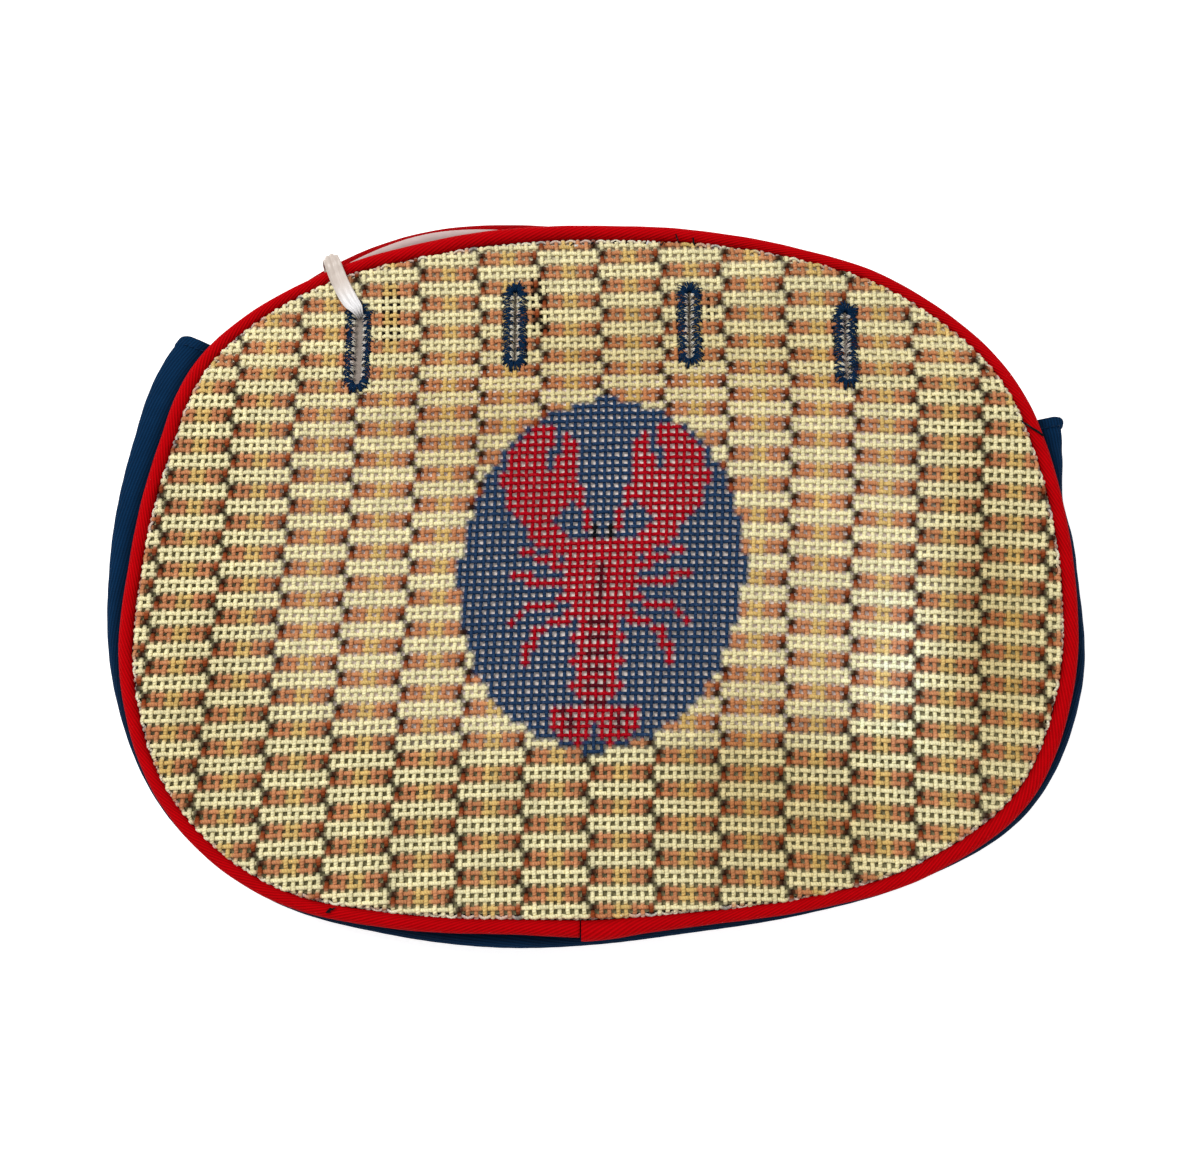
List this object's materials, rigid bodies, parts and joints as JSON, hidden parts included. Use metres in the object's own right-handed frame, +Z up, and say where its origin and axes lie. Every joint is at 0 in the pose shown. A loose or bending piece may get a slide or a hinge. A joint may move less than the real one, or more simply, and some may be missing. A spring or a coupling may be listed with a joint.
{
  "type": "needlepoint bag cover",
  "caption": "Flat oval handbag cover: painted needlepoint canvas front, piped edges, side gusset, open top with buttonholes.",
  "frame": {"origin": "middle of the bounding box's underside, on the surface that the cover lies on", "axes": "+X to the right of the front, +Y towards the open top with the buttonholes, +Z up, out of the front"},
  "size_m": [0.2426, 0.1886, 0.0217],
  "materials": {
    "painted_canvas": "open mono canvas, hand painted, unstitched",
    "lining": "plain fine cotton, matte",
    "piping": "red cotton twill on the bias over a cord",
    "navy_twill": "navy cotton twill, matte",
    "navy_thread": "navy thread, slightly lustrous",
    "ribbon": "white satin"
  },
  "bodies": {
    "root": {"front_canvas": "painted_canvas", "front_lining": "lining", "front_piping": "piping", "gusset": "navy_twill", "back_piping": "piping", "back_panel": "navy_twill", "back_lining": "lining", "buttonhole_1": "navy_thread", "buttonhole_2": "navy_thread", "buttonhole_3": "navy_thread", "buttonhole_4": "navy_thread", "ribbon_loop": "ribbon"}
  },
  "joints": []
}
